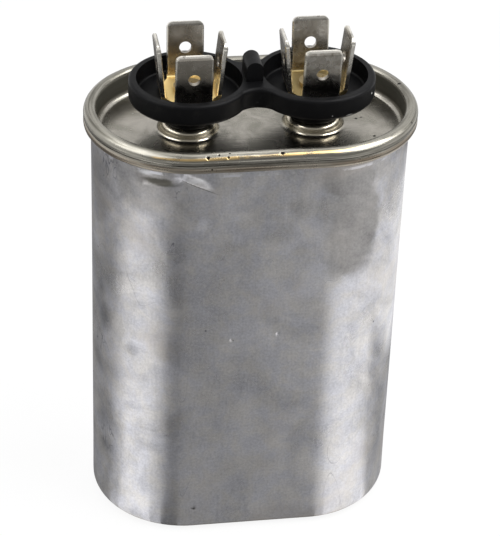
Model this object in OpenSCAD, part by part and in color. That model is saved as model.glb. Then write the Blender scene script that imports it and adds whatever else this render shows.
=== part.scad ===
// Oval motor run capacitor with two four-blade quick-connect terminals.
// Millimetres. X runs along the long side, Y along the short side, Z up.
// The origin is on the underside of the can, at its centre.

/* [Can] */
// Length of the can wall along X
can_len = 54.9; // [46:0.1:75]
// Depth of the can wall along Y
can_dep = 33.3; // [28:0.1:42]
// Height from the base to the top of the seam
case_h = 79.8; // [50:0.1:130]
// Wall of the drawn can
can_wall = 0.5; // [0.4:0.05:0.7]
// Outside radius of the bottom edge
base_r = 2.2; // [1.2:0.1:4]

/* [Cover and seam] */
// Sheet of the cover
cover_t = 0.4; // [0.3:0.05:0.5]
// Height of the rolled seam
seam_h = 3.4; // [3:0.1:4.2]
// Depth of the pan below the top of the seam
recess = 4.6; // [4:0.1:7]
// Radius between the pan floor and its wall
recess_r = 1; // [0.6:0.1:1.6]
// Outer top radius of the seam
shoulder_r = 0.8; // [0.6:0.05:1]
// Inner top radius of the seam
lip_r = 0.35; // [0.2:0.05:0.4]
// Diameter of a drawn collar
collar_d = 9.8; // [9:0.1:11.4]
// Height of a drawn collar
collar_h = 2; // [1.6:0.1:3]
// Top radius of a collar
collar_r = 0.8; // [0.6:0.05:1]
// Radius at the foot of a collar
collar_foot_r = 0.5; // [0.3:0.05:0.9]
// Hole through a collar
collar_hole_d = 5.2; // [4.8:0.1:6]

/* [Insulator] */
// Distance between the terminals
pitch = 21.6; // [21:0.1:26]
// Outside diameter of a cup
cup_d = 20.6; // [18.4:0.1:20.8]
// Height of a cup
cup_h = 3.9; // [3:0.1:8]
// Wall of a cup at its rim
cup_wall = 1.3; // [0.8:0.1:1.8]
// Floor of a cup
cup_floor = 0.8; // [0.6:0.1:1.2]
// Top edge radius of the cups and the web
rim_r = 0.6; // [0.3:0.05:0.6]
// Bottom edge radius of the cups and the web
foot_r = 0.8; // [0.4:0.05:1]
// Width of the web at its waist
waist = 10; // [7:0.1:12]
// Diameter of a seating boss
boss_d = 9.2; // [8.6:0.1:9.6]
// Height of a seating boss
boss_h = 3.9; // [2.6:0.1:5]
// Bottom edge radius of a boss
boss_r = 0.6; // [0.3:0.05:0.6]
// Thickness of the centre fin along X
fin_t = 2.9; // [2:0.1:3.4]
// Length of the centre fin along Y
fin_len = 4.8; // [3:0.1:6.4]
// Height of the centre fin above the web
fin_h = 3.5; // [2:0.1:8]

/* [Terminals] */
// Width of a blade
blade_w = 6.35; // [4.8:0.05:6.4]
// Thickness of the sheet
blade_t = 0.8; // [0.5:0.05:0.85]
// Height of a blade's tip above the cup floor
blade_rise = 10.5; // [9:0.1:14]
// Outward lean of a blade in degrees
blade_lean = 6; // [0:0.5:10]
// Distance from the terminal's centre to the outside of a bend, along X
bend_x = 5.1; // [4.8:0.1:6]
// Distance from the terminal's centre to the outside of a bend, along Y
bend_y = 5.8; // [4.8:0.1:6.4]
// Inside radius of the bends
bend_r = 0.4; // [0.2:0.05:0.8]
// Corner radius of a blade's tip
tip_r = 1.1; // [0.5:0.1:2]
// Bevel along the edges of a blade
edge_bevel = 0.15; // [0.05:0.01:0.2]
// Length of the bevel at a blade's tip
tip_bevel = 0.7; // [0.3:0.05:1.2]
// Thickness left at a blade's tip
tip_t = 0.35; // [0.2:0.05:0.5]
// Hole through a blade
blade_hole_d = 2.1; // [1.6:0.05:2.4]
// Distance from a blade's tip to its hole
blade_hole_drop = 4.6; // [3.6:0.1:5]

/* [Rivets and seals] */
// Rivet shank
shank_d = 3.2; // [2.6:0.1:3.6]
// Rivet head
head_d = 5.4; // [4.8:0.1:6]
// Height of a rivet head
head_h = 0.8; // [0.5:0.1:1.4]
// Outside diameter of a gasket
gasket_d = 6.8; // [6.4:0.1:7.2]
// Height of a gasket
gasket_t = 1.2; // [0.8:0.1:1.6]
// Flange height of a bushing, below the collar's top
flange_t = 3; // [2.6:0.1:3.6]
// Sheet of a contact lug
lug_t = 0.6; // [0.4:0.05:0.8]
// Width of a contact lug's tongue
lug_w = 5; // [4.2:0.1:6]
// Reach of a contact lug's tongue from the rivet
lug_reach = 8; // [6.4:0.1:9]

/* [Winding and insulation] */
// Wall of the sleeve between roll and can
liner_t = 0.6; // [0.4:0.1:0.8]
// Room between the sleeve and the wrapped roll
lead_room = 1; // [0.9:0.1:1.6]
// Thickness of the wrap round the roll
wrap_t = 0.4; // [0.2:0.1:0.6]
// Thickness of a sprayed end contact
contact_t = 0.6; // [0.4:0.1:1]
// Thickness of an insulating pad
pad_t = 1; // [0.6:0.1:1.6]
// Height of the space between the top pad and the cover
head_room = 8.4; // [7:0.1:12]
// Wall of the hold-down spacer
spacer_t = 0.8; // [0.6:0.1:1.2]
// Thickness of a lead strap
lead_t = 0.3; // [0.2:0.05:0.4]
// Width of a lead strap
lead_w = 4; // [3:0.1:4.2]
// Length of a strap's foot on an end contact
lead_foot = 7; // [4:0.1:9]

/* [Clearances] */
// Gap round parts that pass through or drop into each other
fit = 0.1; // [0.05:0.01:0.15]
// Height of the gap left at the ends of the two hooks in the seam
hook_gap = 0.1; // [0.05:0.01:0.2]

/* [Hidden] */
$fn = 96;

left = -1;
right = 1;
over = 1; // how far a cutting tool runs past the surface it cuts

// Plan of the can
end_r = can_dep / 2;
straight = can_len - can_dep;

// The seam, as offsets from the outside of the can wall
seam_out = cover_t + can_wall + cover_t;
chuck_in = -can_wall - cover_t;
hook_turn_r = (can_wall + cover_t + can_wall) / 2;
hook_turn_z = case_h - cover_t - hook_turn_r;
curl_r = seam_out / 2;
curl_z = case_h - seam_h + curl_r;

// Heights of the stack on the cover
floor_z = case_h - recess;
collar_z = floor_z + collar_h;
cup_z = collar_z + boss_h;
plate_z = cup_z + cup_floor;
rim_z = cup_z + cup_h;
bushing_top = collar_z - cover_t;
bushing_z = bushing_top - flange_t;
lug_z = bushing_z - lug_t;
pan_under = floor_z - cover_t;

// The web's concave sides run out just inside both cup walls
cup_r = cup_d / 2;
web_sink = 0.06; // how far the concave sides run into the cup walls
root_r = cup_r - web_sink;
flare_r = (pow(root_r, 2) - pow(pitch / 2, 2) - pow(waist / 2, 2)) / (waist - 2 * root_r);
flare_y = waist / 2 + flare_r;
flare_angle = atan2(flare_y, pitch / 2);

// Heights inside the can
pad_z = can_wall;
bottom_lead_z = pad_z + pad_t;
bottom_contact_z = bottom_lead_z + lead_t;
roll_z = bottom_contact_z + contact_t;
top_pad_z = pan_under - head_room - pad_t;
top_lead_z = top_pad_z - lead_t;
top_contact_z = top_lead_z - contact_t;

// Insets from the outside of the can wall
liner_in = can_wall + fit;
wrap_in = liner_in + liner_t + lead_room;
roll_in = wrap_in + wrap_t;
spacer_in = can_wall + cover_t + recess_r + cover_t;
lead_x = straight / 2 + sqrt(pow(end_r - liner_in - liner_t, 2) - pow(lead_w / 2, 2)) - fit - lead_t;

// ---------------------------------------------------------------- helpers

// Oval plan of the can, drawn in by an inset
module oval(inset) {
    square([straight, can_dep - 2 * inset], center = true);
    for (side = [left, right])
        translate([side * straight / 2, 0])
            circle(r = end_r - inset);
}

// Oval sleeve between two insets
module sleeve(outer_inset, inner_inset, height) {
    linear_extrude(height)
        difference() {
            oval(outer_inset);
            oval(inner_inset);
        }
}

// Carries a section round the can. In the section, x = 0 is the outside of the can wall.
module round_the_can() {
    for (side = [0, 1])
        mirror([side, 0, 0])
            translate([straight / 2, 0, 0])
                rotate([0, 0, -90])
                    rotate_extrude(angle = 180)
                        translate([end_r, 0])
                            children();
    for (side = [0, 1])
        mirror([0, side, 0])
            rotate([90, 0, 90])
                linear_extrude(straight, center = true)
                    translate([end_r, 0])
                        children();
}

// Half or quarter of a bent sheet: the part of a ring that lies in one box
module bend(inner, outer, box_from, box_size) {
    intersection() {
        difference() {
            circle(r = outer);
            circle(r = inner);
        }
        translate(box_from)
            square(box_size);
    }
}

// A part that stands at each of the given terminals
module at_terminal(side) {
    translate([side * pitch / 2, 0, 0])
        children();
}

// -------------------------------------------------------------------- can

module can_section() {
    translate([-base_r, base_r])
        bend(base_r - can_wall, base_r, [0, -base_r], [base_r, base_r]);
    translate([-can_wall, base_r])
        square([can_wall, hook_turn_z - base_r]);
    translate([hook_turn_r - can_wall, hook_turn_z])
        bend(hook_turn_r - can_wall, hook_turn_r, [-hook_turn_r, 0],
            [2 * hook_turn_r, hook_turn_r]);
    translate([cover_t, curl_z + hook_gap])
        square([can_wall, hook_turn_z - curl_z - hook_gap]);
}

module can() {
    color("#8f8f92") {
        round_the_can() can_section();
        linear_extrude(can_wall)
            oval(base_r);
    }
}

// ------------------------------------------------------------------ cover

module seam_section() {
    difference() {
        union() {
            translate([chuck_in, curl_z])
                square([seam_out - chuck_in, case_h - shoulder_r - curl_z]);
            translate([chuck_in + lip_r, case_h - shoulder_r])
                square([seam_out - chuck_in - lip_r - shoulder_r, shoulder_r]);
            translate([chuck_in, case_h - shoulder_r])
                square([lip_r, shoulder_r - lip_r]);
            translate([chuck_in + lip_r, case_h - lip_r])
                circle(r = lip_r);
            translate([seam_out - shoulder_r, case_h - shoulder_r])
                circle(r = shoulder_r);
        }
        translate([-can_wall, curl_z - over])
            square([seam_out - cover_t + can_wall, case_h - shoulder_r - curl_z + over]);
        translate([-can_wall, case_h - shoulder_r])
            square([seam_out - shoulder_r + can_wall, shoulder_r - cover_t]);
        translate([seam_out - shoulder_r, case_h - shoulder_r])
            circle(r = shoulder_r - cover_t);
    }
}

module cover_section() {
    seam_section();
    translate([curl_r, curl_z])
        bend(curl_r - cover_t, curl_r, [-curl_r, -curl_r], [2 * curl_r, curl_r]);
    translate([0, curl_z])
        square([cover_t, hook_turn_z - hook_gap - curl_z]);
    translate([chuck_in, floor_z + recess_r])
        square([cover_t, curl_z - floor_z - recess_r]);
    translate([chuck_in - recess_r, floor_z + recess_r])
        bend(recess_r, recess_r + cover_t, [0, -recess_r - cover_t],
            [recess_r + cover_t, recess_r + cover_t]);
}

// Section of a drawn collar, from its hole to its foot
module collar_section() {
    wall_r = collar_d / 2;
    translate([collar_hole_d / 2, collar_z - cover_t])
        square([wall_r - collar_r - collar_hole_d / 2, cover_t]);
    translate([wall_r - collar_r, collar_z - collar_r])
        bend(collar_r - cover_t, collar_r, [0, 0], [collar_r, collar_r]);
    translate([wall_r - cover_t, floor_z + collar_foot_r])
        square([cover_t, collar_h - collar_r - collar_foot_r]);
    translate([wall_r + collar_foot_r, floor_z + collar_foot_r])
        bend(collar_foot_r, collar_foot_r + cover_t,
            [-collar_foot_r - cover_t, -collar_foot_r - cover_t],
            [collar_foot_r + cover_t, collar_foot_r + cover_t]);
}

module cover() {
    color("#a39e94") {
        round_the_can() cover_section();
        difference() {
            translate([0, 0, pan_under])
                linear_extrude(cover_t)
                    oval(recess_r - chuck_in);
            for (side = [left, right])
                at_terminal(side)
                    translate([0, 0, pan_under - over])
                        cylinder(h = cover_t + 2 * over, r = collar_d / 2 + collar_foot_r);
        }
        for (side = [left, right])
            at_terminal(side)
                rotate_extrude()
                    collar_section();
    }
}

// -------------------------------------------------------------- insulator

// Solid section of a cup and its boss, before it is hollowed
module cup_section() {
    boss_edge = boss_d / 2 - boss_r;
    translate([0, cup_z])
        square([cup_r - foot_r, cup_h]);
    translate([0, cup_z + foot_r])
        square([cup_r, cup_h - foot_r - rim_r]);
    translate([0, rim_z - rim_r])
        square([cup_r - rim_r, rim_r]);
    translate([cup_r - rim_r, rim_z - rim_r])
        circle(r = rim_r);
    translate([cup_r - foot_r, cup_z + foot_r])
        circle(r = foot_r);
    translate([0, collar_z])
        square([boss_edge, boss_h]);
    translate([0, collar_z + boss_r])
        square([boss_d / 2, boss_h - boss_r]);
    translate([boss_edge, collar_z + boss_r])
        circle(r = boss_r);
}

// What is cut from the web's edges, as a section round the centre of a concave side
module web_edges() {
    cut_from = flare_r / 2;
    difference() {
        translate([cut_from, rim_z - rim_r])
            square([flare_r + rim_r - cut_from, rim_r + over]);
        translate([flare_r + rim_r, rim_z - rim_r])
            circle(r = rim_r);
    }
    difference() {
        translate([cut_from, cup_z - over])
            square([flare_r + foot_r - cut_from, foot_r + over]);
        translate([flare_r + foot_r, cup_z + foot_r])
            circle(r = foot_r);
    }
}

// Solid bridge between the cups, with its concave sides
module web() {
    touch = [pitch / 2 - root_r * cos(flare_angle), root_r * sin(flare_angle)];
    difference() {
        translate([0, 0, cup_z])
            linear_extrude(cup_h)
                difference() {
                    polygon([
                        [-pitch / 2, 0], [-touch.x, -touch.y], [touch.x, -touch.y],
                        [pitch / 2, 0], [touch.x, touch.y], [-touch.x, touch.y]
                    ]);
                    for (side = [left, right])
                        translate([0, side * flare_y])
                            circle(r = flare_r);
                }
        for (side = [0, 1])
            mirror([0, side, 0])
                translate([0, -flare_y, 0])
                    rotate_extrude(angle = 180)
                        web_edges();
    }
}

// Fin with a rounded top that stands across the web
module fin() {
    root_z = rim_z - rim_r;
    crown_z = rim_z + fin_h - fin_t / 2;
    rotate([90, 0, 0])
        linear_extrude(fin_len, center = true) {
            translate([-fin_t / 2, root_z])
                square([fin_t, crown_z - root_z]);
            translate([0, crown_z])
                circle(d = fin_t);
        }
}

// Section of the room inside a cup, the bore for the rivet and the gasket's pocket
module cup_hollow() {
    room_r = cup_r - cup_wall;
    corner_r = cup_floor / 2;
    translate([0, plate_z + corner_r])
        square([room_r, cup_h]);
    translate([0, plate_z])
        square([room_r - corner_r, corner_r]);
    translate([room_r - corner_r, plate_z + corner_r])
        circle(r = corner_r);
    translate([0, collar_z - over])
        square([shank_d / 2 + fit, boss_h + 2 * over]);
    translate([0, collar_z - over])
        square([gasket_d / 2 + fit, gasket_t + over]);
}

module terminal_insulator() {
    color("#1d1d1f")
        difference() {
            union() {
                for (side = [left, right])
                    at_terminal(side)
                        rotate_extrude()
                            cup_section();
                web();
                fin();
            }
            for (side = [left, right])
                at_terminal(side)
                    rotate_extrude()
                        cup_hollow();
        }
}

// -------------------------------------------------------------- terminals

// Side view of an arm up to one face of its sheet: radius is the bend's, x runs out from
// the terminal's centre and y up from the bend's centre
module arm_side(hub, radius, from, height) {
    translate([from, -radius])
        square([hub - from, radius + over]);
    translate([hub, 0]) {
        circle(r = radius);
        rotate(-blade_lean)
            translate([from - hub, 0])
                square([hub - from + radius, height]);
    }
}

// Side view of an arm: plate, bend and blade
module arm_section(hub, length) {
    outer = bend_r + blade_t;
    bevel_x = (blade_t - tip_t) / 2;
    difference() {
        arm_side(hub, outer, 0, length);
        arm_side(hub, bend_r, -outer, 2 * length);
        translate([hub, 0])
            rotate(-blade_lean)
                for (bevel = [[bend_r, bevel_x], [outer, -bevel_x]])
                    polygon([
                        [bevel[0], length - tip_bevel], [bevel[0] + bevel[1], length],
                        [bevel[0] + bevel[1], length + over], [bevel[0] - bevel[1], length + over],
                        [bevel[0] - bevel[1], length - tip_bevel]
                    ]);
    }
}

// What is cut from one long edge and tip corner of a blade; z runs along the blade
module blade_edge(length) {
    half = blade_w / 2;
    for (face = [0, blade_t])
        translate([bend_r + face, half, 0])
            rotate([0, 0, 45])
                linear_extrude(length + over)
                    square(sqrt(2) * edge_bevel, center = true);
    translate([bend_r - over, half - tip_r, length - tip_r])
        rotate([90, 0, 90])
            linear_extrude(blade_t + 2 * over)
                difference() {
                    square(tip_r + over);
                    circle(r = tip_r);
                }
}

// One arm of the terminal: the end of its plate, the bend and the blade, along +X
module arm(bend_at) {
    hub = bend_at - bend_r - blade_t;
    mid = bend_r + blade_t / 2;
    rise = blade_rise - blade_t - bend_r;
    length = (rise + mid * sin(blade_lean)) / cos(blade_lean);
    translate([0, 0, plate_z + blade_t + bend_r])
        difference() {
            rotate([90, 0, 0])
                linear_extrude(blade_w, center = true)
                    arm_section(hub, length);
            translate([hub, 0, 0])
                rotate([0, blade_lean, 0]) {
                    translate([bend_r - over, 0, length - blade_hole_drop])
                        rotate([0, 90, 0])
                            cylinder(h = blade_t + 2 * over, d = blade_hole_d);
                    for (side = [0, 1])
                        mirror([0, side, 0])
                            blade_edge(length);
                }
        }
}

module terminal(side) {
    half = blade_w / 2;
    hub_x = bend_x - bend_r - blade_t;
    hub_y = bend_y - bend_r - blade_t;
    color(side == left ? "#b39a62" : "#a8987a")
        at_terminal(side)
            difference() {
                union() {
                    for (turn = [0, 180])
                        rotate([0, 0, turn])
                            arm(bend_x);
                    for (turn = [90, 270])
                        rotate([0, 0, turn])
                            arm(bend_y);
                    translate([0, 0, plate_z])
                        linear_extrude(blade_t)
                            polygon([
                                [hub_x, -half], [hub_x, half], [half, hub_y], [-half, hub_y],
                                [-hub_x, half], [-hub_x, -half], [-half, -hub_y], [half, -hub_y]
                            ]);
                }
                translate([0, 0, plate_z - over])
                    cylinder(h = blade_t + 2 * over, d = shank_d + 2 * fit);
            }
}

// ------------------------------------------------------- rivets and seals

module rivet(side) {
    head_z = plate_z + blade_t;
    color("#b89b5e")
        at_terminal(side) {
            translate([0, 0, lug_z - head_h])
                cylinder(h = head_z + head_h / 2 - lug_z + head_h, d = shank_d);
            for (z = [head_z, lug_z - head_h])
                translate([0, 0, z])
                    cylinder(h = head_h, d = head_d);
        }
}

module gasket(side) {
    color("#3b3330")
        at_terminal(side)
            translate([0, 0, collar_z])
                difference() {
                    cylinder(h = gasket_t, d = gasket_d);
                    translate([0, 0, -over])
                        cylinder(h = gasket_t + 2 * over, d = shank_d + 2 * fit);
                }
}

module bushing(side) {
    color("#d9cfae")
        at_terminal(side)
            difference() {
                union() {
                    translate([0, 0, bushing_z])
                        cylinder(h = flange_t, r = collar_d / 2 - cover_t - collar_r - fit);
                    translate([0, 0, bushing_z])
                        cylinder(h = collar_z - bushing_z, d = collar_hole_d - 2 * fit);
                }
                translate([0, 0, bushing_z - over])
                    cylinder(h = collar_z - bushing_z + 2 * over, d = shank_d + 2 * fit);
            }
}

module lug(side) {
    color("#b7a778")
        at_terminal(side)
            translate([0, 0, lug_z])
                linear_extrude(lug_t)
                    difference() {
                        union() {
                            circle(d = lug_w + 2 * lug_t);
                            translate([side == left ? -lug_reach : 0, -lug_w / 2])
                                square([lug_reach, lug_w]);
                        }
                        circle(d = shank_d + 2 * fit);
                    }
}

// ---------------------------------------------------------- inner straps

// From the left lug straight down to the top contact
module left_lead() {
    lug_end = pitch / 2 + lug_reach;
    color("#c98f62")
        translate([-lug_end, -lead_w / 2, 0]) {
            translate([0, 0, lug_z - lead_t])
                cube([lead_w, lead_w, lead_t]);
            translate([0, 0, top_lead_z])
                cube([lead_t, lead_w, lug_z - top_lead_z]);
            translate([0, 0, top_lead_z])
                cube([lead_foot, lead_w, lead_t]);
        }
}

// From the right lug over the edge of the roll and down its end to the bottom contact
module right_lead() {
    lug_end = pitch / 2 + lug_reach;
    color("#c98f62")
        translate([0, -lead_w / 2, 0]) {
            translate([lug_end - lead_w, 0, lug_z - lead_t])
                cube([lead_x + lead_t - lug_end + lead_w, lead_w, lead_t]);
            translate([lead_x, 0, bottom_lead_z])
                cube([lead_t, lead_w, lug_z - bottom_lead_z]);
            translate([lead_x - lead_foot, 0, bottom_lead_z])
                cube([lead_foot + lead_t, lead_w, lead_t]);
        }
}

// ------------------------------------------------- winding and insulation

module winding() {
    color("#cfd2d6")
        translate([0, 0, roll_z])
            linear_extrude(top_contact_z - roll_z)
                oval(roll_in);
}

module end_contact(z) {
    color("#8d9094")
        translate([0, 0, z])
            linear_extrude(contact_t)
                oval(roll_in);
}

module winding_wrap() {
    color("#e8e0c4")
        translate([0, 0, bottom_contact_z])
            sleeve(wrap_in, roll_in, top_lead_z - bottom_contact_z);
}

module liner() {
    color("#c9b183")
        translate([0, 0, base_r])
            sleeve(liner_in, liner_in + liner_t, top_pad_z + pad_t - base_r);
}

module bottom_pad() {
    color("#c2a878")
        translate([0, 0, pad_z])
            linear_extrude(pad_t)
                oval(base_r);
}

module top_pad() {
    slot_w = lead_w + 2 * fit;
    color("#c2a878")
        translate([0, 0, top_pad_z])
            linear_extrude(pad_t)
                difference() {
                    oval(liner_in + liner_t + fit);
                    translate([-pitch / 2 - lug_reach - fit, -slot_w / 2])
                        square([lead_t + 2 * fit, slot_w]);
                    translate([lead_x - fit, -slot_w / 2])
                        square([can_len, slot_w]);
                }
}

module hold_down_spacer() {
    color("#d8c79a")
        difference() {
            translate([0, 0, top_pad_z + pad_t])
                sleeve(spacer_in, spacer_in + spacer_t, head_room);
            translate([0, -lug_w, lug_z - lug_t])
                cube([can_len, 2 * lug_w, head_room]);
        }
}

// ------------------------------------------------------------------ model

can();
cover();
terminal_insulator();
terminal(left);  // left_terminal
terminal(right);  // right_terminal
rivet(left);  // left_rivet
rivet(right);  // right_rivet
gasket(left);  // left_gasket
gasket(right);  // right_gasket
bushing(left);  // left_bushing
bushing(right);  // right_bushing
lug(left);  // left_lug
lug(right);  // right_lug
left_lead();
right_lead();
winding();
end_contact(top_contact_z);  // top_end_contact
end_contact(bottom_contact_z);  // bottom_end_contact
winding_wrap();
liner();
bottom_pad();
top_pad();
hold_down_spacer();
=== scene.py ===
import math

import bmesh
import bpy
from bpy.props import FloatProperty, FloatVectorProperty, PointerProperty
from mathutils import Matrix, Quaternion, Vector, noise


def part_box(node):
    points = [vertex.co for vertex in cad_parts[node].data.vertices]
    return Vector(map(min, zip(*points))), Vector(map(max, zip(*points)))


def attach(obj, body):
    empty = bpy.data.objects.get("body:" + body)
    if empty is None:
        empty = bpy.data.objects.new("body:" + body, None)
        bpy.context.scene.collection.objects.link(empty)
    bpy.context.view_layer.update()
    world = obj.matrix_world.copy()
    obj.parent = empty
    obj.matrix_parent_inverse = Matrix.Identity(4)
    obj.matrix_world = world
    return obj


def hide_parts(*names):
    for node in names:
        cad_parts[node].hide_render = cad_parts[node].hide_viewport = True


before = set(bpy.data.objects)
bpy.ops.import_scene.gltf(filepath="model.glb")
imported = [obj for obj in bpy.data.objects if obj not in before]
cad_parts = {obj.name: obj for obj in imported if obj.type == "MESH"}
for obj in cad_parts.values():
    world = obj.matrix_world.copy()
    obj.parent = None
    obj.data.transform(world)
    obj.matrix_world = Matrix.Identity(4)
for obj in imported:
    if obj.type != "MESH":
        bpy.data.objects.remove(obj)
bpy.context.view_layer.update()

bl_info = {
    "name": "Motor Run Capacitor Finish",
    "version": (1, 0, 0),
    "blender": (4, 5, 0),
    "location": "View3D > Sidebar > Capacitor",
    "description": "Models and finishes the worn pieces of an oval motor run capacitor",
    "category": "Mesh",
}

MM = 0.001
SIDES = {"left": -1, "right": 1}

# Plan and heights of the can and its seam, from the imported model
cover_low, cover_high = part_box("cover")
can_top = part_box("can")[1].z
terminal_low, terminal_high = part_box("right_terminal")
seam_top = cover_high.z
pan_under = cover_low.z
end_centre = (terminal_low.x + terminal_high.x) / 2
blade_width = 6.35 * MM

# How finely the pieces are made: steps along a straight side, steps round an end
CAN_STEPS = (60, 136)
SEAM_STEPS = (72, 100)
COLLAR_STEPS = 96
# The wall has its fine rows this far down from the top of the seam
FINE_ZONE = 14 * MM
# Nothing on the wall moves above this depth below the top of the seam
STILL_ZONE = 4.5 * MM
# The right terminal's plate has gone this dark beside the left one's
BROWN_SHARE = 0.36

# Marks of use on the can's wall: distance along the front from its middle, height, in millimetres
HOLLOW_EDGE = ((-22.6, 74.4), (-21.0, 72.6), (-19.4, 72.8), (-16.8, 73.2), (-14.9, 74.0), (-13.4, 74.8))
CREASE_EDGE = ((-14.4, 74.9), (-13.6, 74.4), (-11.0, 73.3), (-7.6, 71.7))
PINPRICKS = ((-4.8, 42.1), (3.3, 42.8))

# Patches on a surface: centre, size, amount; lengths in millimetres
DULL_FILM = (
    ((13.6, -16.4, 62.5), (4.0, 4.5, 11.5), 0.9), ((17, -15.5, 63.5), (4.6, 4.8, 12), 1.0),
    ((14.5, -16.4, 73), (6, 3, 4.5), 0.9), ((20.5, -13.5, 74), (3.4, 3.6, 3.4), 0.35),
    ((-20, -14, 73), (7.5, 6, 7), 0.7), ((-25.5, -7.5, 71), (5, 7, 8), 0.4),
)
SMUDGES_AND_PRICK_SHADE = (
    ((6.0, -16.6, 68.3), (2.6, 1.5, 3.1), -0.20), ((-10, -16.6, 65.8), (1.9, 1.5, 2.0), 0.26),
    ((-4, -16.6, 67.3), (2.8, 1.5, 1.5), 0.14), ((14, -16.3, 62.9), (1.7, 1.2, 0.7), 0.12),
    ((1, -16.6, 66), (2.2, 1.5, 1.1), 0.10), ((6.5, -16.6, 60), (1.8, 1.5, 2.6), -0.10),
    ((-25.6, -7.4, 42), (3.0, 3.2, 4.0), -0.30), ((-27, -3.6, 32), (2.4, 3.6, 3.6), -0.22),
    ((-21.8, -12.4, 38.5), (2.2, 2.2, 2.6), -0.18), ((-27, -4, 56), (2.6, 5, 4), 0.22),
    ((-25.8, -6.8, 14), (3, 3.6, 2.4), -0.24), ((-24.5, -9, 27), (3, 3, 5), 0.14),
    ((-26.5, -5.5, 48), (1.6, 2.4, 2.4), -0.20), ((24.5, -9.5, 20), (3, 4, 9), -0.12),
    ((-10.9, -16.6, 5.5), (0.7, 0.7, 0.6), -0.8), ((8.8, -16.6, 61.5), (2.5, 1.5, 2), -0.06),
    # These two rows are painted shade in the two pinpricks
    ((-4.8, -16.6, 42.1), (0.22, 0.4, 0.22), -0.8), ((3.3, -16.6, 42.8), (0.2, 0.4, 0.2), -0.7),
)
SCRATCHED = (
    ((-25.2, -8.4, 73.6), (3.2, 4.4, 3.6), 1.0), ((-13.8, -16.4, 71.8), (2.0, 1.5, 2.1), 1.0),
    ((-15.5, -16, 61.8), (0.9, 0.9, 1.0), 1.0),
    ((-26.5, -5, 36), (2, 3, 3), 0.8), ((-25.5, -7.5, 16), (2.8, 3, 4), 0.8),
    ((24, -10, 14), (2, 2.4, 3), 0.5),
)
# Painted shade: the hollow under the seam made dark
HOLLOW_PAINTED_SHADE = (((-17.6, -15.1, 73.8), (4.2, 4.0, 0.85), 0.9),)
# Painted highlights in the hollow and above the crease
HOLLOW_PAINTED_HIGHLIGHTS = (
    ((-19.9, -14.2, 75.0), (1.9, 1.9, 0.65), 0.95), ((-11.4, -16.6, 74.5), (2.2, 1.5, 0.7), 0.8),
)
# Painted shade: a dark line along the crease
CREASE_SHADE_LINE = ((-14, -16.6, 74.7), (-7.8, -16.6, 71.75))
RIM_PITS = (
    ((-9.8, -17.65, 79.6), (0.55, 0.5, 0.5), 1.0), ((-8.0, -17.2, 79.8), (0.32, 0.32, 0.32), 1.0),
    ((-6.5, -17.7, 79.4), (0.34, 0.34, 0.34), 1.0), ((-6.2, -16.9, 79.8), (0.2, 0.2, 0.2), 1.0),
    ((2.5, -17.4, 79.7), (0.55, 0.42, 0.42), 1.0), ((26.6, 4.2, 79.8), (0.4, 0.4, 0.4), 1.0),
    ((26.3, -9.0, 79.4), (0.5, 0.5, 0.4), 1.0), ((18.55, 0.7, 75.3), (0.3, 0.3, 0.3), 1.0),
    ((19.5, 1.1, 75.3), (0.26, 0.26, 0.26), 1.0), ((20.5, -5.6, 75.3), (0.3, 0.3, 0.3), 1.0),
    ((19.8, 3.3, 75.3), (0.22, 0.22, 0.22), 1.0), ((22.7, 4.4, 75.3), (0.2, 0.2, 0.2), 1.0),
)
CHIPS = (
    ((19.6, -5.3, 83.4), (0.22, 0.22, 0.22), 1.0), ((15.2, -9.4, 81.7), (1.0, 0.5, 0.12), 0.5),
)


# Cards on the floor that the wall mirrors: name, first and last turn of the wall in degrees,
# reach in metres, tone
MIRRORED_CARDS = (
    ("left_edge_card", -27, -20, 0.30, 0.60), ("front_left_card", -20, -10, 0.30, 0.17),
    ("front_card", -10, 3, 0.30, 0.31), ("right_edge_card", 3, 8, 0.30, 0.62),
    ("right_card", 38, 85, 0.07, 0.42), ("far_left_card", -95, -56, 0.30, 0.24),
    ("left_soft_card", -56, -49, 0.30, 0.55),
)
# Cards given by their corners, in metres, and tone
BACK_CARD = (((-0.05, 0.02, 0.0003), (0.05, 0.02, 0.0003), (0.09, 0.3, 0.0003), (-0.09, 0.3, 0.0003)), 0.28)
FRONT_FLAG = (((-1.7, -1.3, 0.001), (1.7, -1.3, 0.001), (1.7, -0.25, 1.5), (-1.7, -0.25, 1.5)), 0.25)
# A darker ring of table: inner and outer radius in metres, tone
FAR_TABLE = (0.1335, 0.22, 0.2)
# How far out from the middle line of the oval a mirrored card starts, and its height
CARD_START = 14.6 * MM
CARD_LIFT = 0.2 * MM
# Distance of the lamps from the object, and the point that lamps face
LAMP_DISTANCE = 0.5
LAMP_TARGET = (0, 0, 0.05)
# The point at the middle of the view
VIEW_TARGET = (0.85 * MM, 0, 45.9 * MM)


# ---------------------------------------------------------------- settings

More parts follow.
